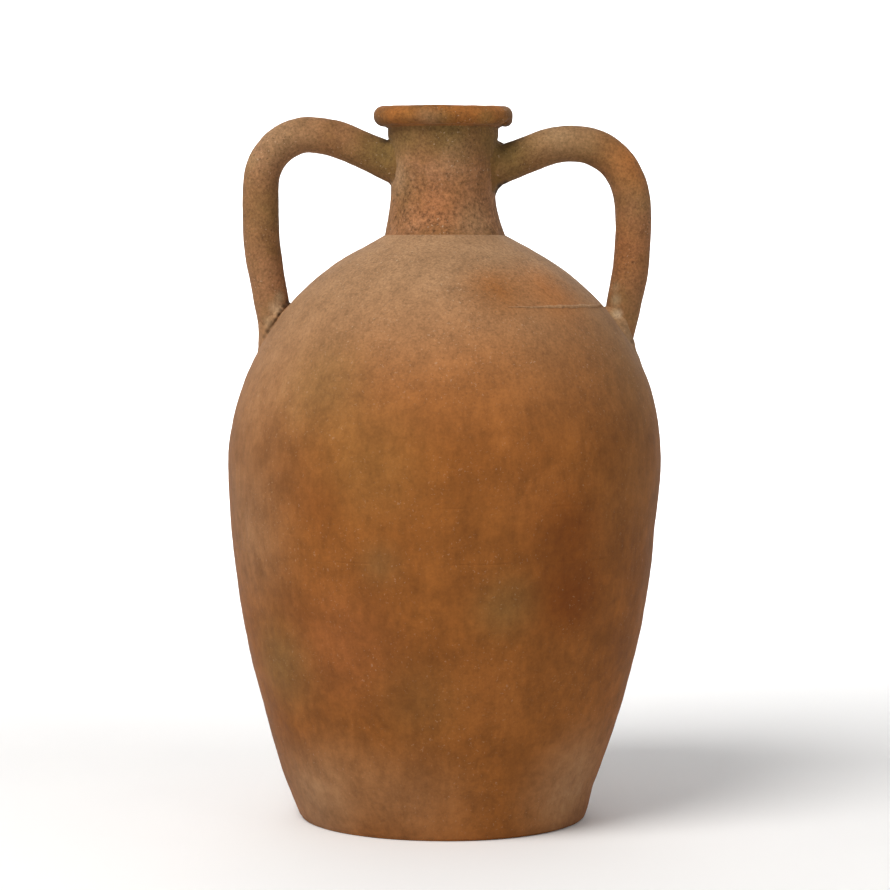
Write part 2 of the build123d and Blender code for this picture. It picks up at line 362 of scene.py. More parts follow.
def clayMaterial(name, settings):
    sheet = Sheet(name)
    place = sheet.add("ShaderNodeTexCoord", {}, {}, 3)
    height = sheet.add("ShaderNodeSeparateXYZ", {}, {0: place}, 2)

    big = sheet.noise(place, 9.0, 4.0, 0.55, 0.3)
    medium = sheet.noise(place, 42.0, 4.0, 0.6, 0.2)
    small = sheet.noise(place, 170.0, 4.0, 0.65)
    fine = sheet.noise(place, 560.0, 3.0, 0.7)
    first, second = settings["body"]
    colour = sheet.paint((big * 0.6 + medium * 0.4).ramp(0.38, 0.62), clay[first], second)
    rain = height.ramp(kiln["dustFrom"], kiln["dustTo"])
    dusting = rain * (big * 0.5 + medium * 0.5 + 0.5)
    colour = sheet.paint(dusting * settings["dusty"], colour, "dust")
    for tint, strength in settings["washes"]:
        colour = sheet.paint(medium.ramp(0.48, 0.68) * strength, colour, tint)
    for tint, centre, reach, strength in clouds + settings["spots"]:
        mask = sheet.nearness(place, centre, reach) * (medium * 1.2 + 0.4) * strength
        colour = sheet.paint(mask, colour, tint)

    # light and dark at four sizes, darkening and lightening the colour
    streaks = sheet.noise(sheet.stretch(place, (260, 260, 60), (0, 0.12, 0)), 1.0, 3.0, 0.6)
    shade = (small - 0.5) * settings["mottle"] + (fine - 0.5) * (dusting + settings["grain"])
    shade = shade + (streaks - 0.5) * settings["streak"] + (medium - 0.5) * 0.4 + 1.0
    if settings["frost"]:
        frost = sheet.noise(place, 300.0, 2.0, 0.65) - 0.47
        frosted = height.ramp(*kiln["frostTop"]) * height.ramp(*kiln["frostFoot"])
        shade = shade + frost * frosted * settings["frost"]
    tone = sheet.add("ShaderNodeCombineColor", {}, {0: shade, 1: shade, 2: shade})
    colour = sheet.mix(1.0, colour, tone, "MULTIPLY")

    # sand in the clay: pale and dark flecks, never round
    sand = sheet.noise(place, 620.0, 1.0, 0.5, 0.6)
    patchy = sheet.noise(place, 26.0, 2.0).ramp(0.35, 0.6) * (rain * 0.65 + 0.35)
    pale = sand.ramp(0.75 - settings["pale"], 0.79 - settings["pale"]) * patchy
    dark = sand.ramp(0.25 + settings["dark"], 0.21 + settings["dark"]) * patchy
    colour = sheet.paint(pale * 0.5, colour, "cream")
    colour = sheet.paint(dark * 0.5, colour, "darkFleckAndShade")
    # painted shade: each pit is darkened in colour as well as sunk into the surface
    for pit in pits:
        colour = sheet.paint(sheet.nearness(place, pit, 1.5 * mm).ramp(0.2, 0.6), colour, "darkFleckAndShade")
    # painted shade in the cracks and crevices
    if settings["crackShaded"]:
        colour = paintCrackShade(sheet, place, medium, colour)
    sheet.feed("Base Color", colour)
    sheet.feed("Roughness", (fine - 0.5) * 0.12 + kiln["roughness"])

    sheet.shader.inputs["Specular IOR Level"].default_value = kiln["specular"]
    sheet.shader.inputs["Sheen Weight"].default_value = settings["sheen"]
    sheet.shader.inputs["Sheen Roughness"].default_value = kiln["sheenRoughness"]
    sheet.shader.inputs["Sheen Tint"].default_value = kiln["sheenTint"]

    pores = sheet.add("ShaderNodeTexVoronoi", {}, {"Vector": place, "Scale": 210.0})
    hole = pores.ramp(0.22, 0.05) * small.ramp(0.5, 0.62)
    surface = small * 0.5 + fine * 0.5 + streaks * 0.25
    surface = surface + pale * 0.25 - dark * 0.5 - hole * settings["pores"]
    inputs = {"Strength": settings["bump"], "Distance": 0.35 * mm, "Height": surface}
    sheet.feed("Normal", sheet.add("ShaderNodeBump", {}, inputs))
    print("mixed", name)
    return sheet.material


# patches round the handles and the neck, shared by the pieces that meet there
joints = [
    # the olive spots round the top of the neck, just under the rim, are partly the clay's own olive and
    # partly painted shade under the rim
    ("olive", (0.0, -0.03, 0.492), 0.040, 0.9), ("olive", (0.0, 0.04, 0.490), 0.050, 0.8),
    ("olive", (-0.043, -0.01, 0.470), 0.026, 0.9), ("olive", (0.043, -0.01, 0.470), 0.028, 0.9),
    ("olive", (0.043, 0.0, 0.452), 0.020, 0.7), ("olive", (-0.12, 0.0, 0.430), 0.030, 0.5),
    ("dust", (-0.125, -0.01, 0.487), 0.050, 0.5), ("dust", (0.08, -0.01, 0.490), 0.040, 0.4),
    ("amber", (0.135, -0.01, 0.465), 0.035, 0.6), ("rose", (0.125, -0.01, 0.400), 0.040, 0.4),
    ("slip", (-0.1140, -0.012, 0.3680), 0.008, 0.6), ("dust", (-0.1180, -0.013, 0.3600), 0.008, 0.9),
    ("slip", (-0.1235, -0.012, 0.3500), 0.008, 0.25), ("slip", (0.1165, -0.012, 0.375), 0.008, 0.5),
    ("slip", (0.1176, -0.013, 0.366), 0.008, 0.7), ("slip", (0.1190, -0.014, 0.357), 0.007, 0.6),
    ("cream", (0.1215, -0.014, 0.3560), 0.005, 0.6),
]
# for each clay: body colours, how much it is dusted, washed, frosted, mottled and so on
finishes = {
    "wall_clay": {
        "body": ("brown", "orange"), "dusty": 0.68, "washes": [],
        "spots": [],
        "mottle": 0.50, "grain": 0.48, "streak": 0.35, "pale": 0.065, "dark": 0.06,
        "sheen": 0.06, "pores": 0.5, "bump": 0.5, "frost": 0.0, "crackShaded": False,
    },
    "floor_clay": {
        "body": ("brown", "umber"), "dusty": 0.0, "washes": [("dust", 0.3)],
        "spots": [],
        "mottle": 0.50, "grain": 0.50, "streak": 0.20, "pale": 0.07, "dark": 0.06,
        "sheen": 0.05, "pores": 0.5, "bump": 0.5, "frost": 0.0, "crackShaded": False,
    },
    "neck_clay": {
        "body": ("umber", "pink"), "dusty": 0.06, "washes": [("dust", 0.12)],
        "spots": joints + [
            ("rose", (-0.005, -0.04, 0.430), 0.030, 0.4), ("dust", (-0.034, -0.02, 0.450), 0.020, 0.45),
            # the olive spots just under the rim are partly the clay's own olive and partly painted shade
            # under the rim
            ("olive", (-0.028, -0.03, 0.478), 0.020, 0.6), ("olive", (0.005, -0.04, 0.480), 0.018, 0.5),
            ("olive", (0.033, -0.025, 0.478), 0.020, 0.6), ("pink", (0.020, -0.035, 0.440), 0.040, 0.5),
            ("dust", (0.022, -0.035, 0.418), 0.024, 0.30), ("dust", (0.010, -0.04, 0.465), 0.020, 0.15),
        ],
        "mottle": 0.80, "grain": 0.80, "streak": 0.25, "pale": 0.065, "dark": 0.09,
        "sheen": 0.08, "pores": 0.7, "bump": 0.9, "frost": 1.8, "crackShaded": False,
    },
    "rim_clay": {
        "body": ("umber", "orange"), "dusty": 0.0, "washes": [("ochre", 0.35)],
        "spots": [
            ("amber", (0.02, -0.05, 0.505), 0.035, 0.6), ("amber", (-0.035, -0.035, 0.500), 0.020, 0.4),
            ("amber", (0.040, -0.030, 0.503), 0.018, 0.7), ("rust", (0.05, -0.01, 0.493), 0.014, 0.4),
            ("olive", (0.0, -0.05, 0.488), 0.012, 0.5), ("dust", (-0.012, -0.05, 0.489), 0.016, 0.35),
            ("ochre", (0.030, -0.040, 0.489), 0.012, 0.6),
        ],
        "mottle": 1.00, "grain": 0.45, "streak": 0.10, "pale": 0.045, "dark": 0.10,
        "sheen": 0.06, "pores": 0.6, "bump": 0.6, "frost": 0.0, "crackShaded": True,
    },
    "handle_clay": {
        "body": ("umber", "pink"), "dusty": 0.06, "washes": [("olive", 0.4)],
        "spots": joints,
        "mottle": 0.75, "grain": 0.60, "streak": 0.20, "pale": 0.045, "dark": 0.09,
        "sheen": 0.08, "pores": 0.8, "bump": 0.8, "frost": 0.0, "crackShaded": True,
    },
    "luting_slip": {
        "body": ("brown", "orange"), "dusty": 0.68, "washes": [],
        "spots": [
            ("umber", (-0.05, 0.0, 0.465), 0.075, 2.0), ("umber", (0.05, 0.0, 0.465), 0.075, 2.0),
            # the dust spots along the shoulder seam are partly dust and partly a painted highlight on
            # the top of the bead
            ("dust", (0.055, -0.095, 0.361), 0.040, 0.36), ("dust", (0.078, -0.078, 0.361), 0.035, 0.38),
            ("dust", (0.095, -0.055, 0.361), 0.035, 0.40), ("umber", (0.125, 0.0, 0.345), 0.030, 0.5),
            ("dust", (0.130, -0.015, 0.342), 0.030, 0.45),
        ] + joints,
        "mottle": 0.60, "grain": 0.55, "streak": 0.35, "pale": 0.065, "dark": 0.08,
        "sheen": 0.06, "pores": 0.7, "bump": 0.8, "frost": 0.0, "crackShaded": True,
    },
}

mixed = {slot: clayMaterial(slot.replace("_", " "), settings) for slot, settings in finishes.items()}


def newPiece(name, mesh, node, slot):
    bmesh.ops.remove_doubles(mesh, verts=mesh.verts[:], dist=0.01 * mm)
    bmesh.ops.recalc_face_normals(mesh, faces=mesh.faces[:])
    data = bpy.data.meshes.new(name)
    mesh.to_mesh(data)
    mesh.free()
    data.shade_smooth()
    data.set_sharp_from_angle(angle=radians(45))
    data.materials.append(mixed[slot])
    piece = bpy.data.objects.new(name, data)
    bpy.context.scene.collection.objects.link(piece)
    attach(piece, "root")
    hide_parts(node)
    print("made", name, "with", len(data.polygons), "faces")


def turnOutline(corners, segments):
    # corners are (radius, height, step to the next corner, curve to the next corner);
    # a corner without a step leaves the outline open after it
    mesh = bmesh.new()
    verts = [mesh.verts.new((radius, 0, z)) for radius, z, step, curve in corners]
    runs = []
    for index, (radius, z, step, curve) in enumerate(corners):
        if step:
            runs.append((mesh.edges.new((verts[index], verts[(index + 1) % len(verts)])), step, curve))
    for edge, step, curve in runs:
        cuts = max(int(round(edge.calc_length() / step)) - 1, 0)
        if not cuts:
            continue
        cut = bmesh.ops.bisect_edges(mesh, edges=[edge], cuts=cuts)
        for item in cut["geom_split"]:
            if curve and isinstance(item, bmesh.types.BMVert):
                item.co.x = curve(item.co.z)
    bmesh.ops.spin(
        mesh, geom=mesh.verts[:] + mesh.edges[:], cent=(0, 0, 0), axis=(0, 0, 1),
        angle=2 * pi, steps=segments, use_merge=True, use_duplicate=False,
    )
    return mesh


# steps along the turned outlines, and how many segments round
wallRings = {
    "segments": 540, "outside": 1.8 * mm, "slanted": 1.0 * mm, "fine": 0.5 * mm, "inside": 6 * mm,
    "seamStep": 4 * mm,
}


def keyCorners(z, outer, inner, outerFirst):
    # the raised key in the middle of a wall at a seam
    middle = (outer + inner) / 2
    foot, top = seamKey["foot"] / 2, seamKey["top"] / 2
    corners = [(middle + foot, z), (middle + top, z + seamKey["height"])]
    corners += [(middle - top, z + seamKey["height"]), (middle - foot, z)]
    if not outerFirst:
        corners.reverse()
    return [(radius, height, wallRings["seamStep"], None) for radius, height in corners]


def handTurned(mesh):
    # moves a true turning to its hand-made shape, outside and inside
    for vert in mesh.verts:
        x, y, z = vert.co
        radius, angle = hypot(x, y), atan2(y, x)
        skin = 1 - smooth(0, jar["wall"], bodyRadius(z) - radius)
        inside = 1 - smooth(0, 2 * mm, radius - bodyRadius(z, -jar["wall"]))
        outward, upward = jarNormal(z)
        height = relief(x, y, z) * skin if skin > 0 else 0
        if inside > 0:
            height += noise.noise(Vector((cos(angle) * 0.4, sin(angle) * 0.4, z * 75))) * mm * inside
        vert.co.x = x + height * outward * cos(angle) + lean(z)
        vert.co.y = y + height * outward * sin(angle)
        vert.co.z = z + height * upward * skin


def innerRadius(z):
    return max(bodyRadius(z, -jar["wall"]), jar["mouthRadius"])


def thrownWall(bottom, top, outsideStep, rings=()):
    # outside from the bottom up in coarse and fine steps, over the top, and back down the inside
    fine, seamStep = 1.5 * mm, wallRings["seamStep"]
    stops = [bottom, bottom + fine]
    for height in rings:
        stops += [height - fine, height + fine]
    stops += [top - fine, top]
    corners = []
    for index, z in enumerate(stops[:-1]):
        corners.append((bodyRadius(z), z, outsideStep if index % 2 else wallRings["fine"], bodyRadius))
    corners.append((bodyRadius(top), top, seamStep, None))
    corners += keyCorners(top, bodyRadius(top), innerRadius(top), True)
    corners.append((innerRadius(top), top, wallRings["inside"], innerRadius))
    if bottom > jar["floorTop"]:
        corners.append((innerRadius(bottom), bottom, seamStep, None))
        corners += keyCorners(bottom, bodyRadius(bottom), innerRadius(bottom), False)
    else:
        corners.append((innerRadius(jar["floorTop"]), jar["floorTop"], seamStep, None))
        corners.append((jar["plugRadius"], jar["floorTop"], seamStep, None))
        corners.append((jar["plugRadius"], bottom, seamStep, None))
    mesh = turnOutline(corners, wallRings["segments"])
    handTurned(mesh)
    return mesh


def makeWalls():
    outside, slanted = wallRings["outside"], wallRings["slanted"]
    lower = thrownWall(jar["slabEdge"], jar["bellySeam"], outside)
    newPiece("lowerWall", lower, "lower_wall", "wall_clay")
    belly = thrownWall(jar["bellySeam"], jar["shoulderSeam"], outside, [jar["turnedGroove"]])
    newPiece("bellyWall", belly, "belly_wall", "wall_clay")
    dome = thrownWall(jar["shoulderSeam"], jar["neckFoot"], slanted)
    newPiece("shoulderDome", dome, "shoulder_dome", "wall_clay")


floorSlab = {
    "segments": 540, "edgeRound": 1.2 * mm, "step": 4 * mm,
    "wireCut": 0.35 * mm, "wireCentre": (-0.19, 0.11), "wireScale": 1500,
    "spiral": 0.8 * mm, "spiralScale": 520,
}
floorCoil = {"segments": 300, "width": 12 * mm, "lump": 0.8 * mm, "lumpScale": 60}


def makeFloor():
    # the slab: wire-cut underneath, spiralled by fingertips on top
    outer, edge, plug = jar["baseRadius"], jar["slabEdge"], jar["plugRadius"]
    soft = floorSlab["edgeRound"]
    corners = [
        (0, 0, floorSlab["step"], None),
        (outer - soft, 0, mm, None),
        (outer - 0.3 * soft, 0.3 * soft, mm, None),
        (outer, soft, mm, None),
        (bodyRadius(edge), edge, 4 * mm, None),
        (plug, edge, 3 * mm, None),
        (plug, jar["floorTop"], floorSlab["step"], None),
        (0, jar["floorTop"], None, None),
    ]
    mesh = turnOutline(corners, floorSlab["segments"])
    bmesh.ops.remove_doubles(mesh, verts=mesh.verts[:], dist=0.01 * mm)
    for vert in mesh.verts:
        x, y, z = vert.co
        radius, angle = hypot(x, y), atan2(y, x)
        if z < 0.1 * mm:
            swing = hypot(x - floorSlab["wireCentre"][0], y - floorSlab["wireCentre"][1])
            wire = sin(swing * floorSlab["wireScale"] + noise.noise(Vector((x, y, 0)) * 30) * 3)
            inset = smooth(outer - 4 * mm, outer - 14 * mm, radius)
            vert.co.z = (0.5 + 0.5 * wire) * floorSlab["wireCut"] * inset
        elif z > jar["floorTop"] - 0.1 * mm and radius < plug - 2 * mm:
            groove = sin(radius * floorSlab["spiralScale"] - angle) * smooth(0, 20 * mm, radius)
            vert.co.z += (groove - 1) * floorSlab["spiral"]
        elif radius > plug + 4 * mm:
            height = relief(x, y, z)
            vert.co.x += height * cos(angle)
            vert.co.y += height * sin(angle)
        vert.co.x += lean(z)
    newPiece("floorSlab", mesh, "base_slab", "wall_clay")


def makeCoil():
    # the soft roll pressed into the corner between floor and wall
    low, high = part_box("floor_coil")
    toe = innerRadius(jar["floorTop"]) - floorCoil["width"]
    reach, rise = high.x - toe, high.z - low.z

    def hollow(z):
        return toe + reach * (1 - sqrt(max(0, 1 - ((z - low.z) / rise) ** 1.3)))

    def outside(z):
        return innerRadius(z) + 0.2 * mm

    corners = [
        (toe, low.z, 1.5 * mm, hollow),
        (outside(high.z), high.z, 2 * mm, outside),
        (outside(low.z), low.z, 4 * mm, None),
    ]
    mesh = turnOutline(corners, floorCoil["segments"])
    for vert in mesh.verts:
        x, y, z = vert.co
        angle = atan2(y, x)
        push = noise.noise(vert.co * floorCoil["lumpScale"]) * floorCoil["lump"]
        push *= smooth(low.z, low.z + 2 * mm, z)
        vert.co.x += lean(z) - push * cos(angle)
        vert.co.y -= push * sin(angle)
    newPiece("floorCoil", mesh, "floor_coil", "floor_clay")


neckShape = {
    "segments": 330, "step": 1.1 * mm, "inside": 4 * mm,
    "grain": 0.10 * mm, "fineGrain": 0.07 * mm, "wipe": 0.22 * mm, "collar": 0.5 * mm,
}


def makeNeck():
    bottom, top, bore = jar["neckFoot"], jar["rimBottom"], jar["mouthRadius"]
    fine = 1.5 * mm
    corners = [
        (neckRadius(bottom), bottom, 0.5 * mm, neckRadius),
        (neckRadius(bottom + fine), bottom + fine, neckShape["step"], neckRadius),
        (neckRadius(top), top, wallRings["seamStep"], None),
    ]
    corners += keyCorners(top, neckRadius(top), bore, True)
    corners += [(bore, top, neckShape["inside"], None), (bore, bottom, wallRings["seamStep"], None)]
    corners += keyCorners(bottom, neckRadius(bottom), bore, False)
    mesh = turnOutline(corners, neckShape["segments"])
    for vert in mesh.verts:
        x, y, z = vert.co
        radius, angle = hypot(x, y), atan2(y, x)
        skin = 1 - smooth(0, 7 * mm, neckRadius(min(z, top)) - radius)
        grain = noise.noise(vert.co * 210) * neckShape["grain"]
        grain += noise.noise(vert.co * 420) * neckShape["fineGrain"]
        # fingers drew the wet clay down from the rim
        wipe = noise.noise(Vector((x * 130, y * 130, z * 22))) * neckShape["wipe"]
        # the collar of the rim is pressed on, and stands a little proud
        collar = neckShape["collar"] * smooth(top - 9 * mm, top - 5 * mm, z)
        height = relief(x, y, z) + (grain + wipe + collar) * smooth(bottom, bottom + 3 * mm, z)
        ribs = noise.noise(Vector((cos(angle) * 0.5, sin(angle) * 0.5, z * 90))) * 0.4 * mm
        height = height * skin + ribs * (1 - skin)
        vert.co.x = x + height * cos(angle) + lean(z)
        vert.co.y = y + height * sin(angle)
    newPiece("neckCollar", mesh, "neck", "neck_clay")


rimShape = {
    "segments": 420,
    "step": 0.9 * mm,
    "outerRound": 6.6 * mm,
    "mouthRound": 4 * mm,
    "raised": 1.2 * mm,
    "dip": 1.3 * mm,
    "swell": 0.55 * mm,
    "lump": 0.28 * mm,
    "grain": 0.12 * mm,
    # on the underside: degrees round from the right, depth and width
    "chips": [(0, -1.8, 7.0), (-17, 3.4, 4.5), (16, 3.0, 4.0), (-172, 2.2, 4.0), (118, 2.2, 5.0)],
}


def makeRim():
    bottom, top, outer, bore = jar["rimBottom"], jar["top"], jar["rimRadius"], jar["mouthRadius"]
    big, small = rimShape["outerRound"], rimShape["mouthRound"]
    mesh = bmesh.new()
    square = [
        mesh.verts.new((bore, 0, bottom)), mesh.verts.new((outer, 0, bottom)),
        mesh.verts.new((outer, 0, top)), mesh.verts.new((bore, 0, top)),
    ]
    mesh.faces.new(square)
    bmesh.ops.bevel(
        mesh, geom=square[1:3], offset=big, offset_type="OFFSET", affect="VERTICES", segments=14,
        profile=0.5, material=-1,
    )
    mouth = [v for v in mesh.verts if v.co.x < bore + 0.1 * mm and v.co.z > top - 0.1 * mm]
    bmesh.ops.bevel(
        mesh, geom=mouth, offset=small, offset_type="OFFSET", affect="VERTICES", segments=8,
        profile=0.5, material=-1,
    )
    bmesh.ops.delete(mesh, geom=mesh.faces[:], context="FACES_ONLY")
    for edge in [e for e in mesh.edges if e.calc_length() > 2 * rimShape["step"]]:
        bmesh.ops.bisect_edges(mesh, edges=[edge], cuts=int(edge.calc_length() / rimShape["step"]))
    bmesh.ops.spin(
        mesh, geom=mesh.verts[:] + mesh.edges[:], cent=(0, 0, 0), axis=(0, 0, 1),
        angle=2 * pi, steps=rimShape["segments"], use_merge=True, use_duplicate=False,
    )
    middle = (bore + outer) / 2
    for vert in mesh.verts:
        x, y, z = vert.co
        radius, angle = hypot(x, y), atan2(y, x)
        away = Vector((radius - middle, z - (bottom + top) / 2)).normalized()
        point = Vector((x, y, z))
        bump = noise.noise(point * 24) * rimShape["swell"] + noise.noise(point * 80) * rimShape["lump"]
        bump += noise.noise(point * 230) * rimShape["grain"]
        under = smooth(bottom + 6 * mm, bottom, z) * smooth(outer - 9 * mm, outer - 3 * mm, radius)
        for turn, deep, wide in rimShape["chips"]:
            off = (degrees(angle) - turn + 180) % 360 - 180
            off *= radians(1) * outer / (wide * mm)
            ragged = 0.6 + 0.8 * abs(noise.noise(point * 260))
            bump -= deep * mm * 0.8 * ragged * under * exp(-off * off)
        bump *= smooth(bore - mm, bore + 3 * mm, radius)
        # the seat on the neck stays true
        free = max(smooth(bottom, bottom + 2 * mm, z), smooth(39.5 * mm, 42 * mm, radius))
        bump *= free
        vert.co.x = x + away.x * bump * cos(angle) + lean(top)
        vert.co.y = y + away.x * bump * sin(angle)
        dip = rimShape["dip"] * max(0, -y / outer) * smooth(bottom + 4 * mm, top, z)
        vert.co.z = z + away.y * bump - dip + rimShape["raised"] * free
    newPiece("rimRoll", mesh, "rim_roll", "rim_clay")


# handles: corners of the centre line as (reach, height) and the bend at each inner corner, in mm;
# each rod flares at the neck and was pulled thinner towards its foot
handles = {
    "Left": {
        "side": -1, "node": "handle_left", "seed": 3.0,
        "corners": [(31, 458.8), (85, 482.8), (128.4, 478.7), (130.6, 411), (115.4, 326)],
        "bends": [62, 34, 240],
        "flare": 1.0 * mm, "thin": 0.06, "thinFrom": 0.55,
    },
    "Right": {
        "side": 1, "node": "handle_right", "seed": 8.0,
        "corners": [(31, 457.0), (74, 474.0), (129.8, 478.8), (133.2, 398), (118.7, 325)],
        "bends": [58, 41, 200],
        "flare": 1.0 * mm, "thin": 0.11, "thinFrom": 0.72,
    },
}
rod = {
    "inPlane": 12.8 * mm, "across": 13.2 * mm, "sides": 72, "step": 1.3 * mm,
    "ease": 9 * mm, "sunk": 5 * mm, "flareSteps": 22,
    "squeeze": 0.035, "swell": 0.65 * mm, "lump": 0.28 * mm, "grain": 0.10 * mm,
}


def handleRoute(handle):
    # straight runs and tangent arcs at even steps, then eased so that no bend starts sharply
    corners = [Vector((handle["side"] * u * mm, 0, z * mm)) for u, z in handle["corners"]]
    line = [corners[0]]
    for before, corner, after, bend in zip(corners, corners[1:], corners[2:], handle["bends"]):
        inwards, onwards = (before - corner).normalized(), (after - corner).normalized()
        half = inwards.angle(onwards) / 2
        reach = bend * mm / (sin(half) / cos(half))
        centre = corner + (inwards + onwards).normalized() * (bend * mm / sin(half))
        start, end = corner + inwards * reach - centre, corner + onwards * reach - centre
        turn = start.angle(end)
        steps = max(int(turn * bend * mm / rod["step"]), 2)
        for index in range(steps + 1):
            share = index / steps
            line.append(centre + (start * sin((1 - share) * turn) + end * sin(share * turn)) / sin(turn))
    line.append(corners[-1])
    lengths = [0.0]
    for a, b in zip(line, line[1:]):
        lengths.append(lengths[-1] + (b - a).length)

    def at(distance):
        distance = min(max(distance, 0.0), lengths[-1])
        index = next(i for i in range(1, len(lengths)) if lengths[i] >= distance)
        share = (distance - lengths[index - 1]) / max(lengths[index] - lengths[index - 1], 1e-9)
        return line[index - 1].lerp(line[index], share)

    count = int(lengths[-1] / rod["step"])
    route = []
    for index in range(count + 1):
        distance = lengths[-1] * index / count
        ease = min(rod["ease"], distance, lengths[-1] - distance)
        spots = [at(distance + ease * offset) for offset in (-1, -0.5, 0, 0.5, 1)]
        route.append(sum(spots, Vector()) / len(spots))
    return route


def growRing(mesh, edges):
    # pulls one more ring out of the last one
    grown = bmesh.ops.extrude_edge_only(mesh, edges=edges)["geom"]
    verts = [item for item in grown if isinstance(item, bmesh.types.BMVert)]
    return verts, [item for item in grown if isinstance(item, bmesh.types.BMEdge)]


def ringPlace(spot, across, up, along, width, height):
    # where a unit circle lies: its two half widths, and the way the rod goes on
    rows = [(across[i] * width, up[i] * height, along[i], spot[i]) for i in range(3)]
    return Matrix(rows + [(0, 0, 0, 1)])


def sweepRod(sides, places):
    # a closed rod with a ring at each place
    mesh = bmesh.new()
    verts = bmesh.ops.create_circle(mesh, cap_ends=True, radius=1.0, segments=sides)["verts"]
    edges = mesh.edges[:]
    bmesh.ops.transform(mesh, matrix=places[0], verts=verts)
    for before, place in zip(places, places[1:]):
        verts, edges = growRing(mesh, edges)
        bmesh.ops.transform(mesh, matrix=before.inverted(), verts=verts)
        bmesh.ops.transform(mesh, matrix=place, verts=verts)
    mesh.faces.new(verts)
    return mesh


def makeHandle(name, handle):
    route = handleRoute(handle)
    total = len(route) - 1
    places = []
    for index, spot in enumerate(route):
        ahead = (route[min(index + 1, total)] - route[max(index - 1, 0)]).normalized()
        across = Vector((0, 1, 0))
        thick = 1 + rod["squeeze"] * noise.noise(Vector((index * rod["step"] * 22, handle["seed"], 0)))
        thick -= handle["thin"] * smooth(handle["thinFrom"], 0.95, index / total)
        flare = handle["flare"] * (1 - smooth(0, rod["flareSteps"], index))
        width, height = rod["inPlane"] * thick + flare, rod["across"] * thick + flare
        places.append(ringPlace(spot, across.cross(ahead), across, ahead, width, height))
    mesh = sweepRod(rod["sides"], places)
    bmesh.ops.recalc_face_normals(mesh, faces=mesh.faces[:])
    mesh.normal_update()
    seed = Vector((handle["seed"], 0, 0))
    moves = []
    for vert in mesh.verts:
        point = vert.co + seed
        height = noise.noise(point * 34) * rod["swell"] + noise.noise(point * 95) * rod["lump"]
        height += noise.noise(point * 260) * rod["grain"]
        moves.append(vert.normal * height)
    for vert, move in zip(mesh.verts, moves):
        vert.co += move
        # inside the jar's wall the ends are cut to follow it
        x, y, z = vert.co
        outward, upward = jarNormal(z)
        depth = (jarRadius(z) - hypot(x, y)) * outward - rod["sunk"]
        if depth > 0:
            angle = atan2(y, x)
            vert.co += Vector((outward * cos(angle), outward * sin(angle), upward)) * depth
    newPiece("handle" + name, mesh, handle["node"], "handle_clay")


# luting: for each joint, how far the clay spreads over the jar and up the rod, above and below it
lutings = {
    "neckLeft": {
        "handle": "Left", "end": "neck", "node": "neck_luting_left", "seed": 1.0,
        "overJar": {"above": 2.5, "below": 3.0, "beside": 6.5},
        "upRod": {"above": 3.0, "below": 6.0, "beside": 9.0},
        "full": 0.30, "web": 0.0, "rough": 0.35, "crease": {"turn": 40, "half": 30, "depth": 0.5},
    },
    "neckRight": {
        "handle": "Right", "end": "neck", "node": "neck_luting_right", "seed": 2.0,
        "overJar": {"above": 6.5, "below": 8.5, "beside": 7.0},
        "upRod": {"above": 7.0, "below": 10.5, "beside": 8.0},
        "full": 0.05, "web": 0.0, "rough": 0.55, "crease": None,
    },
    "shoulderLeft": {
        "handle": "Left", "end": "shoulder", "node": "shoulder_luting_left", "seed": 4.0,
        "overJar": {"above": 0.8, "below": 6.0, "beside": 4.0},
        "upRod": {"above": 1.2, "below": 14.0, "beside": 7.0},
        "full": 0.40, "web": 0.0, "rough": 0.6, "crease": {"turn": 60, "half": 65, "depth": 2.0},
    },
    "shoulderRight": {
        "handle": "Right", "end": "shoulder", "node": "shoulder_luting_right", "seed": 6.0,
        "overJar": {"above": 0.8, "below": 30.0, "beside": 5.5},
        "upRod": {"above": 0.9, "below": 5.0, "beside": 8.0},
        "full": 0.10, "web": 0.35, "rough": 0.4, "crease": None,
    },
}
lutingRing = {
    "around": 150, "across": 20, "wallSink": 0.25 * mm, "rodSink": 0.35 * mm,
    "lump": 0.9 * mm, "grain": 0.3 * mm, "creasePlace": 0.42, "creaseWidth": 0.09,
}


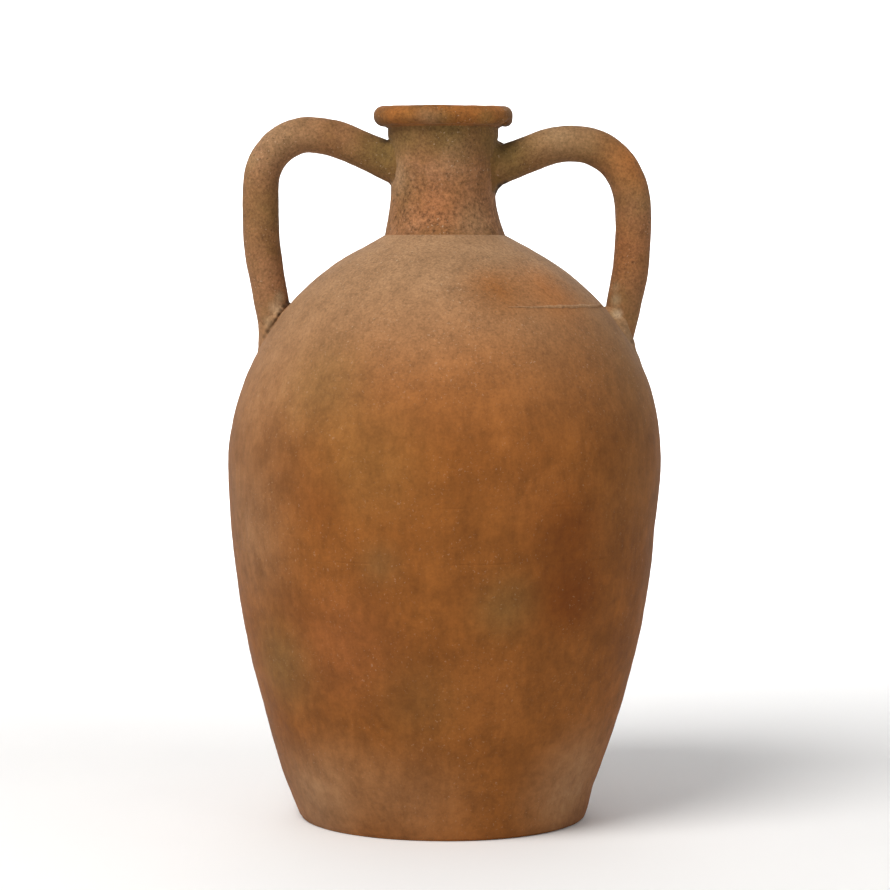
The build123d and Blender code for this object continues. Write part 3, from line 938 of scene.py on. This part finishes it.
def makeLuting(name, luting):
    handle = handles[luting["handle"]]
    route = handleRoute(handle)
    if luting["end"] == "shoulder":
        route.reverse()
    # the straight last stretch of the rod, from inside the jar outwards
    origin, outwards = route[0], (route[14] - route[2]).normalized()
    sideways = Vector((0, 1, 0))
    upwards = sideways.cross(outwards)
    # on the shoulder, above means the side towards the neck
    if (upwards.z if luting["end"] == "neck" else -upwards.x * handle["side"]) < 0:
        upwards = -upwards

    def above(point):
        # height over the jar's surface, near enough for finding where the rod meets it
        return hypot(point.x - lean(point.z), point.y) - jarRadius(point.z)

    def share(turn, spread):
        up = cos(turn)
        tip = spread["above"] if up > 0 else spread["below"]
        return (spread["beside"] + (tip - spread["beside"]) * up * up) * mm

    feet = []
    for index in range(lutingRing["around"]):
        turn = 2 * pi * index / lutingRing["around"]
        radial = upwards * cos(turn) * rod["inPlane"] + sideways * sin(turn) * rod["across"]
        low, high = -30 * mm, 70 * mm
        for _ in range(26):
            middle = (low + high) / 2
            if above(origin + radial + outwards * middle) > 0:
                high = middle
            else:
                low = middle
        foot = origin + radial + outwards * high
        angle = atan2(foot.y, foot.x - lean(foot.z))
        outward, upward = jarNormal(foot.z)
        normal = Vector((outward * cos(angle), outward * sin(angle), upward))
        spread = radial - normal * radial.dot(normal)
        onWall = Vector((cos(turn) * 2.3, sin(turn) * 2.3, luting["seed"]))
        ragged = 1 + luting["rough"] * noise.noise(onWall)
        wallEnd = foot + spread.normalized() * share(turn, luting["overJar"]) * ragged
        around = atan2(wallEnd.y, wallEnd.x - lean(wallEnd.z))
        wallEnd = onJar(around, wallEnd.z, lutingRing["wallSink"])
        onRod = Vector((cos(turn) * 2, sin(turn) * 2, luting["seed"] + 9))
        ragged = 1 + luting["rough"] * noise.noise(onRod)
        rodEnd = foot + outwards * share(turn, luting["upRod"]) * ragged
        rodEnd -= radial.normalized() * lutingRing["rodSink"]
        full = luting["full"] + luting["web"] * max(0, -cos(turn)) ** 2
        bend = foot.lerp((wallEnd + rodEnd) / 2, full)
        crease = luting["crease"]
        gap, shift = 0.0, 0.0
        if crease and radial.y < 0:
            off = abs(degrees(turn if turn < pi else 2 * pi - turn) - crease["turn"])
            gap = crease["depth"] * mm * smooth(crease["half"], 0.4 * crease["half"], off)
            shift = 0.12 * noise.noise(Vector((turn * 5, 1.0, luting["seed"])))
        feet.append((wallEnd, bend, rodEnd, normal, radial, gap, shift))

    # rings from the wall up onto the rod, then two more inside the clay that close the luting
    mesh = bmesh.new()
    made = bmesh.ops.create_circle(mesh, cap_ends=False, radius=1.0, segments=lutingRing["around"])
    verts, edges = made["verts"], mesh.edges[:]
    across = lutingRing["across"]
    for station in range(across + 3):
        if station:
            verts, edges = growRing(mesh, edges)
        t = station / across
        for vert, (wallEnd, bend, rodEnd, normal, radial, gap, shift) in zip(verts, feet):
            if station <= across:
                spot = wallEnd * (1 - t) ** 2 + bend * 2 * t * (1 - t) + rodEnd * t * t
                lumps = noise.noise(spot * 120 + Vector((luting["seed"], 0, 0))) * lutingRing["lump"]
                lumps += noise.noise(spot * 340) * lutingRing["grain"]
                off = (t - lutingRing["creasePlace"] - shift) / lutingRing["creaseWidth"]
                groove = gap * exp(-off * off)
                spot += (normal + radial.normalized()) * (0.5 * lumps * sin(t * pi) - groove)
            elif station == across + 1:
                spot = rodEnd - radial * 0.25
            else:
                spot = wallEnd - normal * 3 * mm - radial * 0.1
            vert.co = spot
    openEdges = [edge for edge in mesh.edges if len(edge.link_faces) == 1]
    bmesh.ops.bridge_loops(mesh, edges=openEdges)
    newPiece("luting" + name[0].upper() + name[1:], mesh, luting["node"], "luting_slip")


bead = {
    "from": -68, "to": -10, "radius": 1.15 * mm, "sides": 12, "steps": 150,
    "raised": 1.2 * mm, "wander": 0.6 * mm, "proud": 0.3 * mm,
    "thinStart": 0.35, "flat": 1.25, "uneven": 0.35,
}


def makeBead():
    # a ridge of clay along the shoulder seam, thin where it starts and thick by the handle
    places = []
    for index in range(bead["steps"] + 1):
        share = index / bead["steps"]
        angle = radians(bead["from"] + (bead["to"] - bead["from"]) * share)
        wave = noise.noise(Vector((share * 9, 4.0, 0))) + 0.4 * noise.noise(Vector((share * 28, 1.0, 0)))
        z = jar["shoulderSeam"] + bead["raised"] + wave * bead["wander"]
        outward, upward = jarNormal(z)
        normal = Vector((outward * cos(angle), outward * sin(angle), upward))
        along = Vector((-sin(angle), cos(angle), 0))
        size = bead["radius"] * (bead["thinStart"] + (1 - bead["thinStart"]) * smooth(0, 0.45, share))
        size *= smooth(0, 0.06, 1.02 - share) * smooth(-0.02, 0.05, share)
        size *= 1 + bead["uneven"] * noise.noise(Vector((share * 22, 7.0, 0)))
        spot = onJar(angle, z) - normal * (size * 0.45 - bead["proud"])
        places.append(ringPlace(spot, normal.cross(along), normal, along, size * bead["flat"], size))
    mesh = sweepRod(bead["sides"], places)
    newPiece("shoulderBead", mesh, "shoulder_seam_bead", "luting_slip")


makeWalls()
makeFloor()
makeCoil()
makeNeck()
makeRim()
for name, handle in handles.items():
    makeHandle(name, handle)
for name, luting in lutings.items():
    makeLuting(name, luting)
makeBead()
print("modelled every piece of clay")

studio = {
    "floorSize": 12.0, "sweep": 5.0, "wallHeight": 5.0, "sweepRadius": 2.0,
    "camera": (0.0, -2.049, 0.401), "aim": (0.0, 0.0, 0.2630), "lens": 117.5,
    "world": 0.39,
    "lamps": [
        # place, aim, size, power, colour
        ((-1.35, -1.7, 2.7), (0, 0, 0.3), 1.9, 95, (1.0, 0.98, 0.95)),
        ((1.9, -2.2, 1.2), (0, 0, 0.25), 2.0, 9, (1.0, 0.99, 0.97)),
        ((0, 2.0, 3.2), (0, 6, 1.0), 3.0, 260, (1.0, 1.0, 1.0)),
    ],
}


def makeStudio():
    mesh = bmesh.new()
    half = studio["floorSize"] / 2
    line = [
        mesh.verts.new((-half, -half, 0)), mesh.verts.new((-half, studio["sweep"], 0)),
        mesh.verts.new((-half, studio["sweep"], studio["wallHeight"])),
    ]
    edges = [mesh.edges.new(line[:2]), mesh.edges.new(line[1:])]
    bmesh.ops.bevel(
        mesh, geom=[line[1]], offset=studio["sweepRadius"], offset_type="OFFSET", affect="VERTICES",
        segments=16, profile=0.5, material=-1,
    )
    grown = bmesh.ops.extrude_edge_only(mesh, edges=mesh.edges[:])
    moved = [item for item in grown["geom"] if isinstance(item, bmesh.types.BMVert)]
    bmesh.ops.translate(mesh, verts=moved, vec=(2 * half, 0, 0))
    bmesh.ops.recalc_face_normals(mesh, faces=mesh.faces[:])
    data = bpy.data.meshes.new("studioSweep")
    mesh.to_mesh(data)
    mesh.free()
    data.shade_smooth()
    floor = bpy.data.objects.new("studioSweep", data)
    bpy.context.scene.collection.objects.link(floor)
    sheet = Sheet("pale paper")
    place = sheet.add("ShaderNodeTexCoord", {}, {}, 3)
    tone = sheet.noise(place, 3.0, 2.0).ramp(0.2, 0.8, 0.86, 0.88)
    sheet.feed("Base Color", sheet.add("ShaderNodeCombineColor", {}, {0: tone, 1: tone, 2: tone}))
    sheet.shader.inputs["Roughness"].default_value = 0.9
    data.materials.append(sheet.material)

    for place, aim, size, power, tint in studio["lamps"]:
        light = bpy.data.lights.new("softbox", "AREA")
        light.shape = "DISK"
        light.size, light.energy, light.color = size, power, tint
        lamp = bpy.data.objects.new("softbox", light)
        lamp.location = place
        lamp.rotation_euler = (Vector(aim) - Vector(place)).to_track_quat("-Z", "Y").to_euler()
        bpy.context.scene.collection.objects.link(lamp)

    world = bpy.data.worlds.new("studio")
    world.use_nodes = True
    world.node_tree.nodes["Background"].inputs[0].default_value = (1, 1, 1, 1)
    world.node_tree.nodes["Background"].inputs[1].default_value = studio["world"]
    bpy.context.scene.world = world

    eye = bpy.data.objects.new("camera", bpy.data.cameras.new("camera"))
    eye.data.lens = studio["lens"]
    eye.location = studio["camera"]
    eye.rotation_euler = (Vector(studio["aim"]) - eye.location).to_track_quat("-Z", "Y").to_euler()
    bpy.context.scene.collection.objects.link(eye)
    bpy.context.scene.camera = eye
    bpy.context.scene.view_settings.view_transform = "Standard"
    print("studio ready")


makeStudio()
